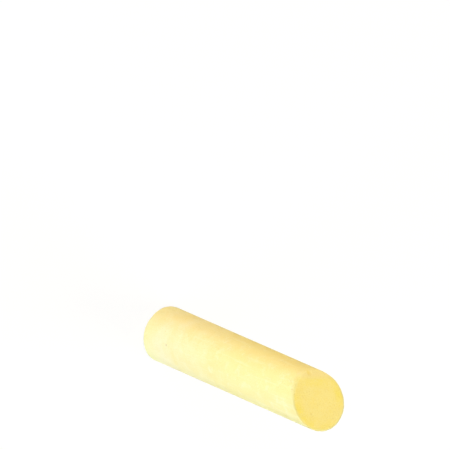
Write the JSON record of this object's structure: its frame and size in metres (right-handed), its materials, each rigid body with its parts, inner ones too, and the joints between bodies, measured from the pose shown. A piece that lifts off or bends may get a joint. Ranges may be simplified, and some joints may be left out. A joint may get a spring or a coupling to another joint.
{
  "type": "chalk stick",
  "caption": "Round stick of pressed ivory chalk, square cut at the end it stands on and cut at a slant at the other, with a softly worn rim.",
  "frame": {"origin": "centre of the flat end that the stick stands on", "axes": "+Z along the stick, towards the slanted end; +Y towards the long side of the slant"},
  "size_m": [0.0158, 0.0158, 0.0756],
  "materials": {
    "chalk": "matte, powdery"
  },
  "bodies": {
    "root": {"chalk_stick": "chalk"}
  },
  "joints": []
}
